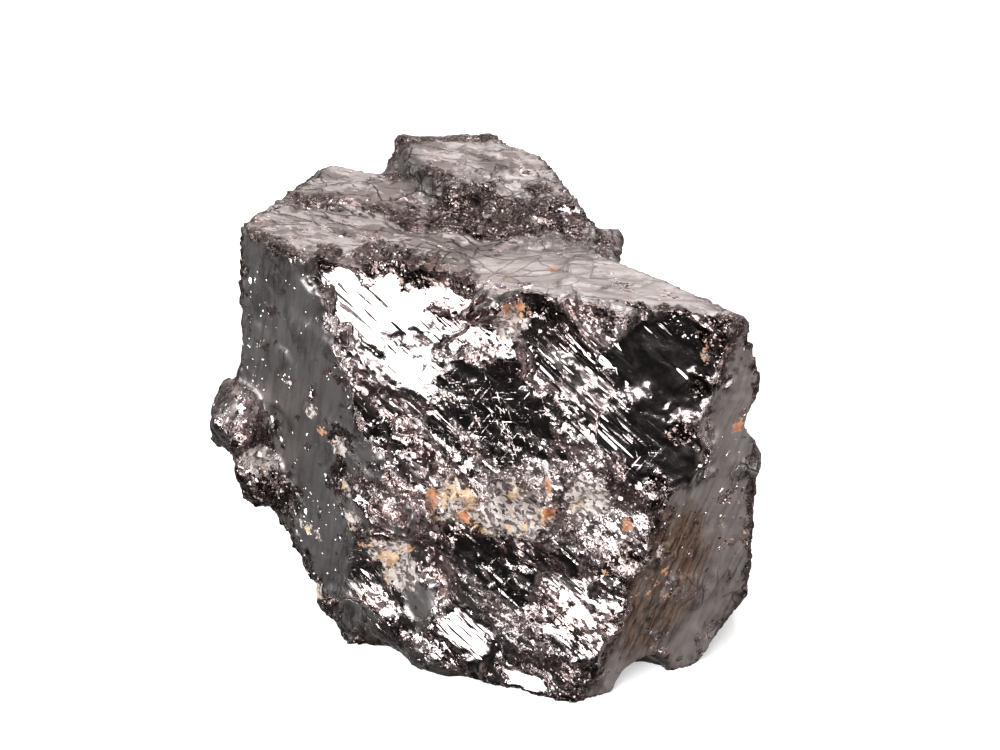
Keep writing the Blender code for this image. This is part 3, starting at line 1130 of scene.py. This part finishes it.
def carbon_color(tree, at, mask, layers):
    """The colour of the carbon itself, with the brown film on it and painted sparks on rough places."""
    brownish = product(tree, patches(tree, at.short, "brownish"), without(tree, mask.calm))
    grey = mixed(tree, mask.satin, mixed(tree, brownish, STONE_GREY, BROWN_GREY), SATIN_GREY)
    strokes = cloud(tree, at.long, 1.3, 5.0, 0.65)
    patch = patches(tree, at.short, "dull")
    dash = patches(tree, squeezed(tree, at.plain, at.grain, 3.0), "dashes")
    dull = weighed(tree, (patch, 0.8), (layers.chip[1], 0.3), (layers.splinter[1], 0.2), (dash, 0.6))
    dull = product(tree, dull, mask.patchy)
    dull = weighed(tree, (stepped(tree, strokes, 0.42, 0.62), 0.4), (dull, 1.0))
    grey = dimmed(tree, product(tree, dull, mask.satin), grey)
    # Painted sparks: a few cells on rough places painted light grey, standing in for glints.
    bright = product(tree, stepped(tree, layers.dust[1], 0.6, 0.64), layers.splinter[1])
    crumbled = mixed(tree, stepped(tree, bright, 0.55, 0.75), ROUGH_BROWN, PAINTED_SPARK_GREY)
    film = mixed(tree, patches(tree, at.long, "fibres"), RUST_FILM_DARK, RUST_FILM)
    filmed = product(tree, mask.brown, stepped(tree, strokes, 0.26, 0.56), mask.satin)
    return mixed(tree, filmed, mixed(tree, mask.rough, grey, crumbled), film)


print("the carbon is mixed from glassy, brown and satin grey")


# %% The colour of the minerals
def with_minerals(tree, at, mask, layers, color):
    """The colour with quartz and rust over it."""
    grains = mixed(tree, stepped(tree, layers.splinter[0], 0.3, 0.7), QUARTZ_DARK, QUARTZ)
    grains = mixed(tree, patches(tree, at.plain, "amber"), grains, AMBER)
    rust = mixed(tree, patches(tree, at.plain, "orange"), RUST_RED, RUST_ORANGE)
    return mixed(tree, mask.rust, mixed(tree, mask.quartz, color, grains), rust)


print("the minerals are mixed from two quartz colours, amber and two rusts")

# %% [markdown]
# ## The material
#
# Carbon this dense reflects like a dark metal, so the stone is metallic, with a grey that is a
# little warm. What varies is how clean the mirror is. The quartz, the rust and the painted glints,
# which are white specks painted into the colour, aren't metallic.

# %% Stone material
GLASSY, MIRROR, SATIN, RUSTY = 0.28, 0.14, 0.42, 0.60
CHIP_HAZE = 0.06
CRACK_DEPTH = 0.9
PAINTED_GLINT_GAIN = 0.03


def stone_painted_glints(tree, at, layers):
    """Painted glints: single points painted white, in clusters on the sparkling places."""
    painted_glint = product(tree, stored(tree, "sparkling"), patches(tree, at.plain, "clusters"))
    grain = largest(tree, layers.dust[0], layers.splinter[2])
    return math_node(tree, "GREATER_THAN", weighed(tree, (painted_glint, PAINTED_GLINT_GAIN), (grain, 1.0)), 1.0)


def stone_roughness(tree, mask, layers):
    """How cloudy the mirror is: least on calm and polished places, and most on rust."""
    cloudy = mixed_value(tree, largest(tree, mask.calm, layers.polish), GLASSY, MIRROR)
    cloudy = mixed_value(tree, mask.satin, cloudy, SATIN)
    cloudy = weighed(tree, (layers.chip[0], CHIP_HAZE), (cloudy, 1.0))
    return mixed_value(tree, mask.rust, cloudy, RUSTY)


def stone_material():
    material = bpy.data.materials.new("elite_shungite")
    material.use_nodes = True
    tree = material.node_tree
    shader = tree.nodes["Principled BSDF"]
    at = stone_places(tree)
    mask = stone_masks(tree, at)
    layers = stone_flakes(tree, at, mask)
    hairline = stone_hairlines(tree, at, mask)
    painted_glint = stone_painted_glints(tree, at, layers)
    color = with_minerals(tree, at, mask, layers, carbon_color(tree, at, mask, layers))
    color = mixed(tree, product(tree, hairline, CRACK_DEPTH), color, CRACK_BLACK)
    # Painted glints: white specks painted over the colour.
    color = mixed(tree, painted_glint, color, PAINTED_GLINT_WHITE)
    plain = largest(tree, mask.quartz, mask.rust, painted_glint)
    feed(tree, shader.inputs["Base Color"], color)
    feed(tree, shader.inputs["Metallic"], without(tree, plain))
    feed(tree, shader.inputs["Roughness"], stone_roughness(tree, mask, layers))
    feed(tree, shader.inputs["Normal"], stone_normal(tree, at, layers.lean, hairline))
    return material


stone.data.materials.clear()
stone.data.materials.append(stone_material())
print("material", stone.data.materials[0].name)

# %% [markdown]
# ## Fit the skin to the solid
#
# The skin stands for the solid in every picture, while the solid itself stays in the physics.

# %% Ride and replace
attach(stone, "root")
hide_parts(solid.name)
print("the skin stands for", solid.name)

# %% [markdown]
# ## The table and the room
#
# Black mirrors show the room, so the room matters as much as the stone. It is bright behind and
# above, where the satin top looks, dark in front, so that the glassy front goes black, and grey at
# the sides. Each part of the room is a direction, how sharply its light falls off around that
# direction, and a colour. The camera itself sees plain white.


# %% Table top
def make_table():
    shape = bmesh.new()
    bmesh.ops.create_grid(shape, x_segments=1, y_segments=1, size=4.0)
    mesh = bpy.data.meshes.new("table")
    shape.to_mesh(mesh)
    shape.free()
    table = bpy.data.objects.new("table", mesh)
    bpy.context.scene.collection.objects.link(table)
    material = bpy.data.materials.new("table_white")
    material.use_nodes = True
    tree = material.node_tree
    shader = tree.nodes["Principled BSDF"]
    shader.inputs["Base Color"].default_value = (0.92, 0.92, 0.92, 1.0)
    shader.inputs["Roughness"].default_value = 0.8
    shader.inputs["Specular IOR Level"].default_value = 0.0
    shader.inputs["Emission Color"].default_value = (1.0, 1.0, 1.0, 1.0)
    shader.inputs["Emission Strength"].default_value = 0.42
    table.data.materials.append(material)
    table.visible_glossy = False
    return table


print("table", make_table().dimensions)

# %% Room light
ROOM = {
    "behind": (facing(180, 37), 5.0, (2.5, 2.36, 2.32)),
    "above": (facing(0, 90), 4.0, (0.60, 0.57, 0.56)),
    "glow": (facing(-32, 30), 15.0, (1.6, 1.6, 1.6)),
    "left": (facing(-100, -20), 4.0, (0.17, 0.17, 0.17)),
    "right": (facing(75, -25), 4.0, (0.78, 0.71, 0.68)),
    "back_low": (facing(180, -30), 2.0, (0.45, 0.44, 0.44)),
}
ROOM_DARK = (0.012, 0.012, 0.012, 1.0)


def make_room():
    world = bpy.data.worlds.new("room")
    bpy.context.scene.world = world
    world.use_nodes = True
    tree = world.node_tree
    direction = node(tree, "ShaderNodeTexCoord", {}).outputs["Generated"]
    light = ROOM_DARK
    for toward, sharpness, color in ROOM.values():
        share = vector_node(tree, "DOT_PRODUCT", direction, tuple(toward))
        share = math_node(tree, "POWER", math_node(tree, "MAXIMUM", share, 0.0), sharpness)
        inputs = {0: share, 6: light, 7: (*color, 1.0)}
        lit = node(tree, "ShaderNodeMix", inputs, data_type="RGBA", blend_type="ADD")
        light = lit.outputs[2]
    seen = node(tree, "ShaderNodeLightPath", {}).outputs["Is Camera Ray"]
    shown = mixed(tree, seen, light, (1.0, 1.0, 1.0, 1.0))
    feed(tree, tree.nodes["Background"].inputs["Color"], shown)
    return world


print("room", make_room().name)

# %% Lamps
# turn, lean, distance, width and height in metres, watts
LAMPS = {
    "key": (-30, 27, 0.9, 0.70, 0.60, 12.4),
    "fill": (50, 30, 1.2, 0.5, 0.4, 0.9),
    "spark_back": (165, 64, 1.2, 0.12, 0.12, 2.4),
    "spark_top": (-70, 72, 1.2, 0.12, 0.12, 2.4),
    "spark_left": (-74, 12, 1.0, 0.09, 0.09, 1.2),
    "spark_right": (72, 2, 1.0, 0.10, 0.10, 1.2),
}


def make_lamp(name, turn, lean, distance, width, height, watts):
    data = bpy.data.lights.new(name, "AREA")
    data.shape, data.size, data.size_y, data.energy = "RECTANGLE", width, height, watts
    lamp = bpy.data.objects.new(name, data)
    bpy.context.scene.collection.objects.link(lamp)
    toward = facing(turn, lean)
    lamp.location = CAMERA_AIM + toward * distance
    lamp.rotation_euler = toward.to_track_quat("Z", "Y").to_euler()
    lamp.visible_camera = False
    return lamp


for title, numbers in LAMPS.items():
    print("lamp", make_lamp(title, *numbers).name)
bpy.context.scene.view_settings.view_transform = "Standard"
